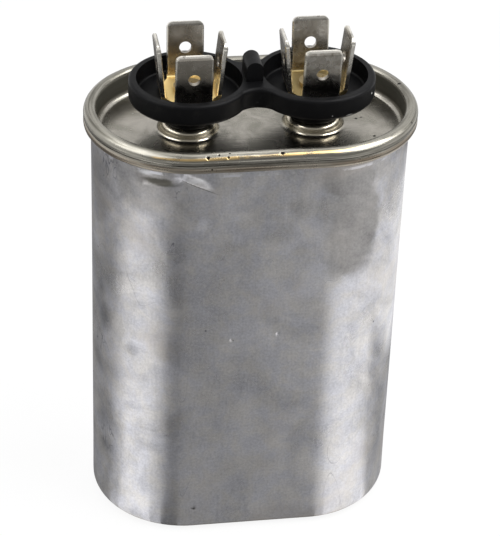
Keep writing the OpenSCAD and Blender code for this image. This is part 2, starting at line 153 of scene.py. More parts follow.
class CanSettings(bpy.types.PropertyGroup):
    """Sizes of the drawn can that the finish follows"""

    sheet: FloatProperty(
        name="Sheet", description="Thickness of the drawn aluminium", default=0.5 * MM,
        min=0.2 * MM, max=1 * MM, unit="LENGTH", precision=5)
    bottom_radius: FloatProperty(
        name="Bottom radius", description="Outside radius of the bottom edge", default=2.2 * MM,
        min=0.5 * MM, max=5 * MM, unit="LENGTH", precision=5)
    row_height: FloatProperty(
        name="Row height", description="Height of one row of faces on the wall", default=0.8 * MM,
        min=0.4 * MM, max=4 * MM, unit="LENGTH", precision=5)
    top_row_height: FloatProperty(
        name="Top row height", description="Height of one row of faces under the seam", default=0.3 * MM,
        min=0.2 * MM, max=2 * MM, unit="LENGTH", precision=5)
    hollow_depth: FloatProperty(
        name="Hollow depth", description="Depth of the hollow pressed in under the seam", default=0.42 * MM,
        min=0, max=0.45 * MM, unit="LENGTH", precision=5)
    crease_depth: FloatProperty(
        name="Crease depth", description="Depth of the crease beside that hollow", default=0.42 * MM,
        min=0, max=0.45 * MM, unit="LENGTH", precision=5)
    waviness: FloatProperty(
        name="Waviness", description="How far the wall wanders from a true surface", default=0.12 * MM,
        min=0, max=0.3 * MM, unit="LENGTH", precision=5)
    colour: FloatVectorProperty(
        name="Colour", description="Colour of the bare aluminium", subtype="COLOR", size=3,
        default=(0.77, 0.77, 0.82), min=0, max=1)


class CoverSettings(bpy.types.PropertyGroup):
    """Sizes of the cover and its rolled seam that the finish follows"""

    sheet: FloatProperty(
        name="Sheet", description="Thickness of the cover's steel", default=0.4 * MM,
        min=0.2 * MM, max=0.8 * MM, unit="LENGTH", precision=5)
    seam_height: FloatProperty(
        name="Seam height", description="Height of the rolled seam", default=3.4 * MM,
        min=2 * MM, max=5 * MM, unit="LENGTH", precision=5)
    shoulder_radius: FloatProperty(
        name="Shoulder radius", description="Outer top radius of the seam", default=1.3 * MM,
        min=0.3 * MM, max=1.4 * MM, unit="LENGTH", precision=5)
    lip_radius: FloatProperty(
        name="Lip radius", description="Inner top radius of the seam", default=0.6 * MM,
        min=0.1 * MM, max=0.8 * MM, unit="LENGTH", precision=5)
    floor_radius: FloatProperty(
        name="Floor radius", description="Radius between the pan floor and its wall", default=1 * MM,
        min=0.4 * MM, max=2 * MM, unit="LENGTH", precision=5)
    collar_diameter: FloatProperty(
        name="Collar diameter", description="Outside diameter of a drawn collar", default=9.8 * MM,
        min=7 * MM, max=12 * MM, unit="LENGTH", precision=5)
    collar_height: FloatProperty(
        name="Collar height", description="Height of a drawn collar", default=2 * MM,
        min=1 * MM, max=4 * MM, unit="LENGTH", precision=5)
    collar_hole: FloatProperty(
        name="Collar hole", description="Diameter of the hole through a collar", default=5.2 * MM,
        min=3 * MM, max=8 * MM, unit="LENGTH", precision=5)
    collar_shoulder: FloatProperty(
        name="Collar shoulder", description="Top radius of a collar", default=1.15 * MM,
        min=0.3 * MM, max=1.5 * MM, unit="LENGTH", precision=5)
    collar_foot: FloatProperty(
        name="Collar foot", description="Radius at the foot of a collar", default=0.8 * MM,
        min=0.2 * MM, max=1.5 * MM, unit="LENGTH", precision=5)
    roll_hollow: FloatProperty(
        name="Roll hollow", description="Depth of the groove that rolling leaves round the seam",
        default=0.2 * MM, min=0, max=0.3 * MM, unit="LENGTH", precision=5)
    knocks: FloatProperty(
        name="Knocks", description="Depth of the waves and knocks in the seam", default=0.05 * MM,
        min=0, max=0.2 * MM, unit="LENGTH", precision=5)
    holding: FloatProperty(
        name="Holding strip", description="Width of the flat strip beside a fillet", default=0.3 * MM,
        min=0.05 * MM, max=1 * MM, unit="LENGTH", precision=5)
    colour: FloatVectorProperty(
        name="Colour", description="Colour of the tinned steel", subtype="COLOR", size=3,
        default=(0.50, 0.47, 0.42), min=0, max=1)


class HardwareSettings(bpy.types.PropertyGroup):
    """Colours of the insulator and the metal on it"""

    plastic: FloatVectorProperty(
        name="Plastic", description="Colour of the moulded insulator", subtype="COLOR", size=3,
        default=(0.004, 0.004, 0.0045), min=0, max=1)
    brass: FloatVectorProperty(
        name="Brass", description="Colour of the terminals where they are bright", subtype="COLOR", size=3,
        default=(0.86, 0.66, 0.30), min=0, max=1)
    tarnish: FloatVectorProperty(
        name="Tarnish", description="Colour of the dulled blades", subtype="COLOR", size=3,
        default=(0.385, 0.355, 0.31), min=0, max=1)


class StageSettings(bpy.types.PropertyGroup):
    """The camera and the soft studio light"""

    yaw: FloatProperty(
        name="Yaw", description="How far left of the front the camera stands", subtype="ANGLE",
        default=math.radians(9.95))
    pitch: FloatProperty(
        name="Pitch", description="How far the camera looks down", subtype="ANGLE",
        default=math.radians(33.1))
    roll: FloatProperty(
        name="Roll", description="How far the camera leans", subtype="ANGLE", default=math.radians(2.25))
    distance: FloatProperty(
        name="Distance", description="Distance from the camera to its target", default=0.389,
        min=0.1, max=5, unit="LENGTH")
    lens: FloatProperty(
        name="Lens", description="Focal length on a 36 mm sensor, in millimetres", default=145.9,
        min=20, max=400)
    key_power: FloatProperty(
        name="Key power", description="Power of each large side lamp, in watts", default=2, min=0, max=50)
    top_power: FloatProperty(
        name="Top power", description="Power of the overhead lamp, in watts", default=0.8, min=0, max=50)
    ambient: FloatProperty(
        name="Ambient", description="Strength of the soft light from all round", default=0.45, min=0, max=2)


# ------------------------------------------------------------ mesh helpers

def millimetres(*values):
    """Lengths given in millimetres, as metres"""
    return [value * MM for value in values]


def arc(centre, radius, start, end, steps):
    """Points along an arc in the section plane, angles in degrees"""
    points = []
    for step in range(steps + 1):
        angle = math.radians(start + (end - start) * step / steps)
        points.append((centre[0] + radius * math.cos(angle), centre[1] + radius * math.sin(angle)))
    return points


def straight_run(start, end, length):
    """Points between two ends of a section line, without the ends, about a length apart"""
    a = Vector(start)
    b = Vector(end)
    steps = max(1, round((b - a).length / length))
    return [tuple(a.lerp(b, step / steps)) for step in range(1, steps)]


def add_section(bm, points, place):
    """Adds a line of vertices and edges; place turns a section point into a vertex position"""
    verts = [bm.verts.new(place(x, z)) for x, z in points]
    edges = [bm.edges.new(pair) for pair in zip(verts, verts[1:])]
    return verts + edges


def last_geometry(result):
    """What a spin leaves at its far end"""
    return result["geom_last"]


def sweep_round(bm, geometry, centre_x, straight_steps, end_steps):
    """Carries a section that stands at the middle of the front once round the oval"""
    half = straight_steps // 2
    run = Vector((centre_x / half, 0, 0))

    def go(geom, offset, steps):
        return last_geometry(bmesh.ops.spin(
            bm, geom=geom, cent=(0, 0, 0), axis=(0, 0, 1), dvec=offset, angle=0, steps=steps))

    def turn(geom, x):
        return last_geometry(bmesh.ops.spin(
            bm, geom=geom, cent=(x, 0, 0), axis=(0, 0, 1), dvec=(0, 0, 0), angle=math.pi,
            steps=end_steps))

    geometry = go(geometry, run, half)
    geometry = turn(geometry, centre_x)
    geometry = go(geometry, -run, straight_steps)
    geometry = turn(geometry, -centre_x)
    go(geometry, run, half)


def close_up(bm, distance=1e-6):
    """Merges what meets and turns the faces outwards"""
    bmesh.ops.remove_doubles(bm, verts=bm.verts, dist=distance)
    bmesh.ops.dissolve_degenerate(bm, dist=distance / 10, edges=bm.edges)
    bmesh.ops.recalc_face_normals(bm, faces=bm.faces)


def smoothstep(low, high, value):
    """Rises softly from 0 at low to 1 at high; falls instead where low is above high"""
    t = min(1, max(0, (value - low) / (high - low)))
    return t * t * (3 - 2 * t)


def bell(value, middle, width):
    """1 at the middle, falling away on both sides"""
    return math.exp(-((value - middle) / width) ** 2)


def level_along(edge, along):
    """The height of a drawn edge at a place along the wall, or nothing beyond its ends"""
    for (left, left_z), (right, right_z) in zip(edge, edge[1:]):
        if left * MM <= along <= right * MM:
            share = (along / MM - left) / (right - left)
            return (left_z + (right_z - left_z) * share) * MM
    return None


def finish_piece(bm, name, materials, replaced, smooth_angle=math.radians(38)):
    """Turns a bmesh into a finished piece that stands for CAD nodes"""
    mesh = bpy.data.meshes.new(name)
    bm.to_mesh(mesh)
    bm.free()
    for polygon in mesh.polygons:
        polygon.use_smooth = True
    mesh.set_sharp_from_angle(angle=smooth_angle)
    for material in materials:
        mesh.materials.append(material)
    piece = bpy.data.objects.new(name, mesh)
    bpy.context.scene.collection.objects.link(piece)
    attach(piece, "root")
    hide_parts(*replaced)
    return piece


def dress(node, material):
    """Gives a carried-over CAD node its material"""
    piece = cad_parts[node]
    for index in range(len(piece.material_slots)):
        piece.material_slots[index].material = material


# -------------------------------------------------------- material helpers

class Recipe:
    """A material's node tree, with short ways to add and link its nodes"""

    def __init__(self, name):
        self.material = bpy.data.materials.new(name)
        self.material.use_nodes = True
        self.tree = self.material.node_tree
        self.tree.nodes.clear()
        self.output = self.add("ShaderNodeOutputMaterial")
        self.shader = self.add("ShaderNodeBsdfPrincipled")
        self.tree.links.new(self.shader.outputs["BSDF"], self.output.inputs["Surface"])
        self.place = self.add("ShaderNodeTexCoord").outputs["Object"]

    def add(self, kind, settings=None, **inputs):
        node = self.tree.nodes.new(kind)
        for key, value in (settings or {}).items():
            setattr(node, key, value)
        for key, value in inputs.items():
            self.feed(node, key.replace("_", " "), value)
        return node

    def feed(self, node, socket, value):
        target = node.inputs[int(socket)] if socket.isdigit() else node.inputs[socket]
        if isinstance(value, bpy.types.NodeSocket):
            self.tree.links.new(value, target)
        else:
            target.default_value = value

    def math(self, operation, a, b=0.5, clamp=False):
        node = self.add("ShaderNodeMath", {"operation": operation, "use_clamp": clamp})
        self.feed(node, "0", a)
        self.feed(node, "1", b)
        return node.outputs[0]

    def vector(self, operation, a, b=(0, 0, 0)):
        node = self.add("ShaderNodeVectorMath", {"operation": operation})
        self.feed(node, "0", a)
        if operation != "LENGTH":
            self.feed(node, "1", b)
        return node.outputs["Value" if operation in ("LENGTH", "DOT_PRODUCT") else "Vector"]

    def stretched(self, scale):
        return self.vector("MULTIPLY", self.place, scale)

    def noise(self, scale, detail=3.0, roughness=0.55, vector=None, distortion=0.0):
        node = self.add("ShaderNodeTexNoise", Scale=scale, Detail=detail, Roughness=roughness,
                        Distortion=distortion)
        self.feed(node, "Vector", vector or self.place)
        return node.outputs["Fac"]

    def span(self, value, low, high, to_low=0.0, to_high=1.0, smooth=True):
        node = self.add("ShaderNodeMapRange", {
            "interpolation_type": "SMOOTHSTEP" if smooth else "LINEAR", "clamp": True})
        self.feed(node, "Value", value)
        limits = {"From Min": low, "From Max": high, "To Min": to_low, "To Max": to_high}
        for socket, number in limits.items():
            self.feed(node, socket, number)
        return node.outputs["Result"]

    def mix(self, factor, a, b, blend="MIX"):
        node = self.add("ShaderNodeMix", {"data_type": "RGBA", "blend_type": blend})
        node.inputs[0].default_value = 1.0
        for index, value in ((0, factor), (6, a), (7, b)):
            if isinstance(value, bpy.types.NodeSocket):
                self.tree.links.new(value, node.inputs[index])
            else:
                node.inputs[index].default_value = (*value, 1) if index else value
        return node.outputs[2]

    def bump(self, height, distance, strength=1.0, normal=None):
        node = self.add("ShaderNodeBump", Strength=strength, Distance=distance)
        self.feed(node, "Height", height)
        if normal:
            self.feed(node, "Normal", normal)
        return node.outputs["Normal"]

    def blob(self, centre, size, edge=0.35, wander=None):
        """1 inside a soft patch round a point, 0 outside it; lengths in metres"""
        place = self.place if wander is None else wander
        offset = self.vector("SUBTRACT", place, centre)
        scaled = self.vector("DIVIDE", offset, size)
        return self.span(self.vector("LENGTH", scaled), 1.0, edge)

    def patches(self, rows, edge=0.2, wander=None):
        """Adds up soft patches; each row is a centre and a size in millimetres and an amount"""
        total = None
        for centre, size, amount in rows:
            patch = self.blob(millimetres(*centre), millimetres(*size), edge, wander)
            share = self.math("MULTIPLY", patch, amount)
            total = share if total is None else self.math("ADD", total, share)
        return total

    def streak(self, start, end, half):
        """A thin tapering line from one point to another; in millimetres"""
        start, end = Vector(millimetres(*start)), Vector(millimetres(*end))
        run = (end - start).normalized()
        offset = self.vector("SUBTRACT", self.place, start)
        along = self.vector("DOT_PRODUCT", offset, run)
        beside = self.math("ABSOLUTE", self.vector("DOT_PRODUCT", offset, (-run.z, 0, run.x)))
        closing = self.span(along, (end - start).length, 0, smooth=False)
        ends = self.math("MULTIPLY", self.span(along, 0, MM), closing)
        thin = self.math("MULTIPLY", self.span(beside, half * MM, 0), self.math("GREATER_THAN", ends, 0))
        return self.math("MULTIPLY", thin, self.math("POWER", ends, 0.4))

    def wandered(self, scale, reach):
        """Object coordinates pushed about by noise, so that an edge drawn with them is ragged"""
        node = self.add("ShaderNodeTexNoise", Scale=scale, Detail=3.0, Vector=self.place)
        push = self.vector("SUBTRACT", node.outputs["Color"], (0.5, 0.5, 0.5))
        return self.vector("ADD", self.place, self.vector("MULTIPLY", push, (reach, reach, reach)))

    def dots(self, scale, radius, share):
        """Small round specks, scattered at random"""
        cells = self.add("ShaderNodeTexVoronoi", Scale=scale, Vector=self.place)
        chosen = self.add("ShaderNodeSeparateColor", Color=cells.outputs["Color"]).outputs["Red"]
        return self.math("MULTIPLY", self.span(cells.outputs["Distance"], radius, radius * 0.5),
                         self.math("LESS_THAN", chosen, share))

    def hairlines(self, scale, stretch, width):
        """Thin wandering lines, where a stretched noise crosses its middle value"""
        cloud = self.noise(scale, 1.0, 0.4, self.stretched(stretch), 0.2)
        away = self.math("ABSOLUTE", self.math("SUBTRACT", cloud, 0.5))
        return self.span(away, width, 0.0)

    def section(self):
        """How far a point lies from the middle line of the oval, and its height"""
        parts = self.add("ShaderNodeSeparateXYZ", Vector=self.place).outputs
        beyond = self.math("MAXIMUM", self.math("SUBTRACT", self.math("ABSOLUTE", parts["X"]), end_centre), 0)
        square = self.math("ADD", self.math("MULTIPLY", beyond, beyond),
                           self.math("MULTIPLY", parts["Y"], parts["Y"]))
        return self.math("SQRT", square), parts["Z"]

    def band(self, value, middle, half, soft):
        """1 within a band of values, falling softly to 0 on both sides"""
        away = self.math("ABSOLUTE", self.math("SUBTRACT", value, middle))
        return self.span(away, half + soft, half)

    def set(self, **values):
        for key, value in values.items():
            self.feed(self.shader, key.replace("_", " "), value)
        return self


# --------------------------------------------------------------- materials

def aluminium_tone(r, blotches, clouds, speckle, fibres):
    """How light the wall is: blotches, smudges, painted shade in the two pinpricks, wisps round the ends,
    speckle and drawing lines
    """
    # Smudges, and painted shade darkening the two pinpricks
    smudge_and_prick_shade = r.patches(SMUDGES_AND_PRICK_SHADE, 0.1, r.wandered(500, 2.5 * MM))
    tone = r.math("ADD", r.span(blotches, 0.3, 0.7, 0.80, 1.0), r.span(clouds, 0.3, 0.7, -0.08, 0.07))
    tone = r.math("ADD", tone, smudge_and_prick_shade)
    along = r.add("ShaderNodeSeparateXYZ", Vector=r.place).outputs["X"]
    ends = r.span(r.math("ABSOLUTE", along), 13 * MM, 20 * MM)
    wisps = r.math("SUBTRACT", r.noise(75, 3, 0.55, distortion=2.2), 0.5)
    tone = r.math("ADD", tone, r.math("MULTIPLY", wisps, r.math("MULTIPLY", ends, 0.9)))
    tone = r.math("ADD", tone, r.span(speckle, 0.25, 0.75, -0.13, 0.13, False))
    return r.math("ADD", tone, r.span(fibres, 0.3, 0.7, -0.03, 0.03, False))


def aluminium_scratches(r):
    """Scratches in groups, stray hairlines and dark specks"""
    scratches = r.hairlines(1, (900, 900, 300), 0.035)
    scratches = r.math("MULTIPLY", scratches, r.patches(SCRATCHED, 0.4, r.wandered(700, 2 * MM)))
    strays = r.hairlines(1, (130, 130, 60), 0.0022)
    strays = r.math("MULTIPLY", strays, r.span(r.noise(60, 1), 0.5, 0.62, 0, 0.5))
    return r.math("MAXIMUM", r.math("MAXIMUM", scratches, strays), r.dots(190, 0.05, 0.22))


def aluminium_edge_band_and_stains(r, colour, clouds):
    """A brown bottom edge, a pale thin band under the seam and a few warm clouds"""
    height = r.section()[1]
    edge = r.math("MULTIPLY", r.span(height, 1.6 * MM, 0.5 * MM), r.span(clouds, 0.3, 0.6, 0.4, 0.95))
    colour = r.mix(edge, colour, (0.20, 0.15, 0.10))
    # A pale thin band at one height under the seam, broken up by the clouds
    pale_band = r.band(height, seam_top - STILL_ZONE, 0.15 * MM, 0.2 * MM)
    colour = r.mix(r.math("MULTIPLY", pale_band, r.span(clouds, 0.5, 0.6)), colour, (0.9, 0.9, 0.95))
    stain = r.math("MULTIPLY", r.span(r.noise(45, 4, 0.6, distortion=0.6), 0.5, 0.7), 0.35)
    return r.mix(stain, colour, (0.66, 0.60, 0.54))


def hollow_shade_and_highlights(r, colour):
    """Painted shade in the hollow, painted highlights in it and above the crease, and a painted shade line
    along the crease
    """
    in_hollow = r.patches(HOLLOW_PAINTED_SHADE, 0.4, r.wandered(600, MM))
    # Painted shade in the hollow and along the crease
    painted_shade = r.math("MAXIMUM", in_hollow, r.streak(*CREASE_SHADE_LINE, 0.13))
    colour = r.mix(r.math("MINIMUM", painted_shade, 1), colour, (0.11, 0.105, 0.085))
    # Painted highlights in the hollow and above the crease
    return r.mix(r.patches(HOLLOW_PAINTED_HIGHLIGHTS, 0.3), colour, (0.88, 0.88, 0.9))


def worn_aluminium():
    """Drawn aluminium: dull film, smudges, fine speckle, scratches, a brown bottom edge, and painted shade
    and highlights in the hollow and crease under the seam
    """
    settings = bpy.context.scene.capacitor_can
    r = Recipe("worn_aluminium")
    blotches = r.noise(85, 4, 0.6, distortion=0.5)
    clouds = r.noise(240, 4, 0.6, distortion=0.3)
    speckle = r.noise(2300, 2, 0.7)
    fibres = r.noise(1, 3, 0.6, r.stretched((2600, 2600, 160)))
    film = r.math("MINIMUM", r.patches(DULL_FILM, 0.55, r.wandered(150, 5 * MM)), 1)
    tone = aluminium_tone(r, blotches, clouds, speckle, fibres)
    colour = r.mix(r.span(clouds, 0.35, 0.65), tuple(settings.colour), (0.74, 0.72, 0.71))
    colour = r.mix(r.math("MULTIPLY", film, 0.92), colour, (0.43, 0.417, 0.41))
    grey = r.add("ShaderNodeCombineColor", Red=tone, Green=tone, Blue=tone).outputs["Color"]
    colour = r.mix(1.0, colour, grey, "MULTIPLY")
    marks = aluminium_scratches(r)
    colour = r.mix(r.math("MULTIPLY", marks, 0.8, clamp=True), colour, (0.13, 0.13, 0.17))
    colour = hollow_shade_and_highlights(r, aluminium_edge_band_and_stains(r, colour, clouds))
    rough = r.math("ADD", r.span(blotches, 0.3, 0.7, 0.26, 0.36), r.math("MULTIPLY", film, 0.2))
    normal = r.bump(fibres, 0.00002, 0.25)
    normal = r.bump(speckle, 0.00003, 0.4, normal)
    normal = r.bump(marks, -0.00004, 0.5, normal)
    r.set(Base_Color=colour, Roughness=rough, Normal=normal, Metallic=1.0)
    return r.material


def steel_streaks(r, reach, height):
    """Streaks that run round the oval, drawn out along the seam"""
    across = r.math("MULTIPLY", r.math("SUBTRACT", height, reach), 1700)
    flat = r.add("ShaderNodeSeparateXYZ", Vector=r.place).outputs
    along = r.add("ShaderNodeCombineXYZ", X=r.math("MULTIPLY", flat["X"], 70),
                  Y=r.math("MULTIPLY", flat["Y"], 70), Z=across).outputs["Vector"]
    return r.noise(1, 4, 0.65, along)


def seam_wear_light_and_shade(r, colour, reach, height, seam_out, streaks, stains, on_seam):
    """The seam's streaked face, its tan lower band, which is painted light on the lower bead, and a painted
    shade line in its groove
    """
    worn = r.mix(r.span(streaks, 0.32, 0.62), (0.10, 0.095, 0.075), (0.37, 0.355, 0.31))
    colour = r.mix(r.math("MULTIPLY", on_seam, 0.8), colour, worn)
    # Painted light: the seam's lower bead made lighter and tan
    low = r.math("MULTIPLY", on_seam, r.span(height, seam_top - 1.9 * MM, seam_top - 2.4 * MM))
    tan = r.mix(r.span(streaks, 0.4, 0.6), (0.30, 0.24, 0.18), (0.44, 0.39, 0.32))
    colour = r.mix(r.math("MULTIPLY", low, 0.75), colour, tan)
    # Painted shade: a dark line in the groove left by the seaming roll
    groove = r.math("MULTIPLY", r.band(height, seam_top - 1.75 * MM, 0.06 * MM, 0.14 * MM),
                    r.span(reach, seam_out - 0.8 * MM, seam_out - 0.5 * MM))
    groove = r.math("MULTIPLY", groove, r.span(stains, 0.35, 0.55, 0.35, 1.0))
    return r.mix(groove, colour, (0.05, 0.045, 0.035))


def wall_painted_shade(r, reach, height, seam_out, floor_z):
    """Where painted shade darkens the pan's upright wall, which the material also makes dull and not metallic
    like dirt
    """
    painted_shade = r.math("MULTIPLY", r.span(reach, seam_out - 2.9 * MM, seam_out - 2.3 * MM),
                   r.span(height, seam_top - 0.3 * MM, seam_top - 0.9 * MM))
    painted_shade = r.math("MULTIPLY", painted_shade, r.span(reach, seam_out - 1.2 * MM, seam_out - 1.6 * MM))
    return r.math("MULTIPLY", painted_shade, r.span(height, floor_z + 0.3 * MM, floor_z + 1.1 * MM))


def pan_tones(r, colour, reach, height, seam_out, floor_z, across):
    """Painted light on the collars, and painted shade on the floor towards the front of the pan"""
    # Painted light: the collars made lighter
    collar_light = r.math("MULTIPLY", r.span(reach, seam_out - 4 * MM, seam_out - 5 * MM),
                    r.span(height, floor_z + 0.05 * MM, floor_z + 0.4 * MM))
    colour = r.mix(collar_light, colour, (0.86, 0.79, 0.64))
    # Painted shade on the floor towards the front of the pan
    shade = r.math("MULTIPLY", r.span(reach, seam_out - 8.5 * MM, seam_out - 4 * MM),
                   r.span(height, floor_z + MM, floor_z))
    shade = r.math("MULTIPLY", shade, r.span(across, -7 * MM, -11 * MM))
    return r.mix(r.math("MULTIPLY", shade, 0.55), colour, (0.10, 0.095, 0.085))


def shoulder_painted_highlight(r, reach, height, seam_out, stains):
    """A painted golden highlight along the front of the seam's shoulder, a little further in towards the
    right
    """
    flat = r.add("ShaderNodeSeparateXYZ", Vector=r.place).outputs
    ahead = r.span(flat["Y"], -15.5 * MM, -16.2 * MM)
    level = r.math("MULTIPLY_ADD", flat["X"], -0.014)
    level.node.inputs[2].default_value = seam_out - 0.36 * MM
    line = r.math("MULTIPLY", r.band(reach, level, 0.10 * MM, 0.16 * MM), ahead)
    broken = r.math("MULTIPLY", r.span(height, seam_top - 0.9 * MM, seam_top - 0.6 * MM),
                    r.span(stains, 0.3, 0.46, 0.3, 1.0))
    return r.math("MULTIPLY", line, broken)


def tinned_steel():
    """Tinned steel: olive stains, streaks along the seam, a painted golden highlight on its shoulder, pits,
    painted light on the collars and the seam's lower bead, and painted shade on the pan's wall, in the groove
    and on the floor's front
    """
    settings = bpy.context.scene.capacitor_cover
    r = Recipe("tinned_steel")
    seam_out = (cover_high.y - cover_low.y) / 2
    floor_z = pan_under + settings.sheet
    reach, height = r.section()
    across = r.add("ShaderNodeSeparateXYZ", Vector=r.place).outputs["Y"]
    streaks = steel_streaks(r, reach, height)
    stains = r.noise(170, 4, 0.6, distortion=0.6)
    grain = r.noise(1, 3, 0.6, r.stretched((500, 2600, 900)))
    on_seam = r.span(reach, seam_out - 2.4 * MM, seam_out - 2.0 * MM)
    painted_shade = wall_painted_shade(r, reach, height, seam_out, floor_z)
    pits = r.math("MAXIMUM", r.patches(RIM_PITS, 0.6, r.wandered(1500, 0.35 * MM)), r.dots(420, 0.10, 0.13))
    # Painted golden highlight on the front of the seam's shoulder
    painted_highlight = r.math("MULTIPLY", shoulder_painted_highlight(r, reach, height, seam_out, stains), 0.85)
    colour = r.mix(r.span(stains, 0.35, 0.68), tuple(settings.colour), (0.34, 0.325, 0.28))
    colour = seam_wear_light_and_shade(r, colour, reach, height, seam_out, streaks, stains, on_seam)
    # Painted shade on the pan's upright wall, which is also dull and not metallic like dirt
    colour = r.mix(r.math("MULTIPLY", painted_shade, 0.92), colour, (0.05, 0.048, 0.036))
    colour = pan_tones(r, colour, reach, height, seam_out, floor_z, across)
    colour = r.mix(painted_highlight, colour, (0.88, 0.62, 0.27))
    colour = r.mix(r.math("MINIMUM", pits, 1), colour, (0.012, 0.011, 0.01))
    rough = r.span(stains, 0.3, 0.7, 0.20, 0.30)
    rough = r.math("ADD", rough, r.math("MULTIPLY", on_seam, 0.04))
    rough = r.math("ADD", rough, r.math("MULTIPLY", painted_shade, 0.4))
    metal_share = r.math("SUBTRACT", 1, r.math("MULTIPLY", painted_shade, 0.9))
    normal = r.bump(grain, 0.00003, 0.25)
    normal = r.bump(streaks, 0.00004, 0.35, normal)
    normal = r.bump(pits, -0.0001, 0.6, normal)
    r.set(Base_Color=colour, Roughness=rough, Normal=normal, Metallic=metal_share, Specular_IOR_Level=0.15)
    return r.material


def moulded_plastic():
    """Black moulded plastic with a satin skin, dust, light rubs and a chip"""
    settings = bpy.context.scene.capacitor_hardware
    r = Recipe("moulded_plastic")
    skin = r.noise(1500, 3, 0.6)
    dust = r.noise(420, 4, 0.7)
    rubs = r.hairlines(1, (400, 400, 900), 0.01)
    rubs = r.math("MULTIPLY", rubs, r.span(r.noise(150, 2), 0.52, 0.66))
    colour = r.mix(r.span(dust, 0.55, 0.8), tuple(settings.plastic), (0.010, 0.0095, 0.009))
    colour = r.mix(r.math("MULTIPLY", rubs, 0.25), colour, (0.06, 0.06, 0.06))
    colour = r.mix(r.dots(500, 0.07, 0.05), colour, (0.25, 0.25, 0.25))
    colour = r.mix(r.patches(CHIPS, 0.5), colour, (0.7, 0.7, 0.68))
    rough = r.span(dust, 0.3, 0.7, 0.34, 0.5)
    normal = r.bump(skin, 0.00004, 0.3)
    r.set(Base_Color=colour, Roughness=rough, Normal=normal, Specular_IOR_Level=0.1)
    return r.material


def tarnished_brass(name, plate, spangled):
    """Tinned brass sheet gone warm grey on the blades, with the bare brass showing at the plate and a painted
    highlight along the blades' edges
    """
    settings = bpy.context.scene.capacitor_hardware
    r = Recipe(name)
    cloud = r.noise(300, 4, 0.6, distortion=0.3)
    lines = r.noise(1, 3, 0.6, r.stretched((1800, 1800, 80)))
    parts = r.add("ShaderNodeSeparateXYZ", Vector=r.place).outputs
    height = parts["Z"]
    blades = r.span(height, terminal_low.z + 0.85 * MM, terminal_low.z + 1.6 * MM)
    tin = r.mix(r.span(cloud, 0.35, 0.7), tuple(settings.tarnish), (0.30, 0.275, 0.235))
    cells = r.add("ShaderNodeTexVoronoi", Scale=1500, Vector=r.wandered(900, 0.4 * MM))
    flake = r.add("ShaderNodeSeparateColor", Color=cells.outputs["Color"]).outputs["Red"]
    tin = r.mix(r.math("MULTIPLY", flake, spangled), tin, (0.62, 0.60, 0.56))
    from_centre = r.math("SUBTRACT", r.math("ABSOLUTE", parts["X"]), end_centre)
    across = r.math("MINIMUM", r.math("ABSOLUTE", from_centre), r.math("ABSOLUTE", parts["Y"]))
    half = blade_width / 2
    drop = r.math("SUBTRACT", height, terminal_high.z)
    # Painted highlight along the blades' side and top edges
    edge_highlight = r.math("MAXIMUM", r.span(across, half - 0.4 * MM, half - 0.15 * MM),
                 r.span(drop, -0.5 * MM, -0.2 * MM))
    edge_highlight = r.math("MAXIMUM", edge_highlight, r.span(r.math("ADD", across, drop), half - 1.15 * MM, half - 0.9 * MM))
    edge_highlight = r.math("MULTIPLY", edge_highlight, r.span(cloud, 0.25, 0.5, 0.45, 1.0))
    tin = r.mix(edge_highlight, tin, (0.86, 0.83, 0.76))
    colour = r.mix(blades, plate, tin)
    stain = r.math("MULTIPLY", r.span(r.noise(700, 3, 0.7), 0.6, 0.72), 0.5)
    colour = r.mix(stain, colour, (0.14, 0.12, 0.09))
    rough = r.math("ADD", r.span(cloud, 0.3, 0.7, 0.20, 0.34), r.span(blades, 0, 1, 0.2, 0))
    normal = r.bump(lines, 0.00002, 0.3)
    normal = r.bump(flake, 0.00003, 0.5 * spangled, normal)
    r.set(Base_Color=colour, Roughness=rough, Normal=normal, Metallic=1.0)
    return r.material


def plain_metal(name, colour, tone, roughness):
    """A small part's metal with a faint cloudiness"""
    r = Recipe(name)
    cloud = r.noise(500, 3, 0.6)
    r.set(Base_Color=r.mix(r.span(cloud, 0.35, 0.7), colour, tone),
          Roughness=r.span(cloud, 0.3, 0.7, roughness, roughness + 0.15),
          Normal=r.bump(r.noise(2500, 2), 0.00002, 0.2), Metallic=1.0)
    return r.material


def soft_stuff(name, colour, tone, scale, roughness, depth):
    """Rubber, board or film: a fibrous or cloudy colour with a matching relief"""
    r = Recipe(name)
    cloud = r.noise(scale, 4, 0.65)
    r.set(Base_Color=r.mix(r.span(cloud, 0.3, 0.7), colour, tone),
          Roughness=r.span(cloud, 0.3, 0.7, roughness, min(1, roughness + 0.15)),
          Normal=r.bump(r.noise(scale * 4, 3), depth, 0.4))
    return r.material


# ------------------------------------------------------------------ pieces

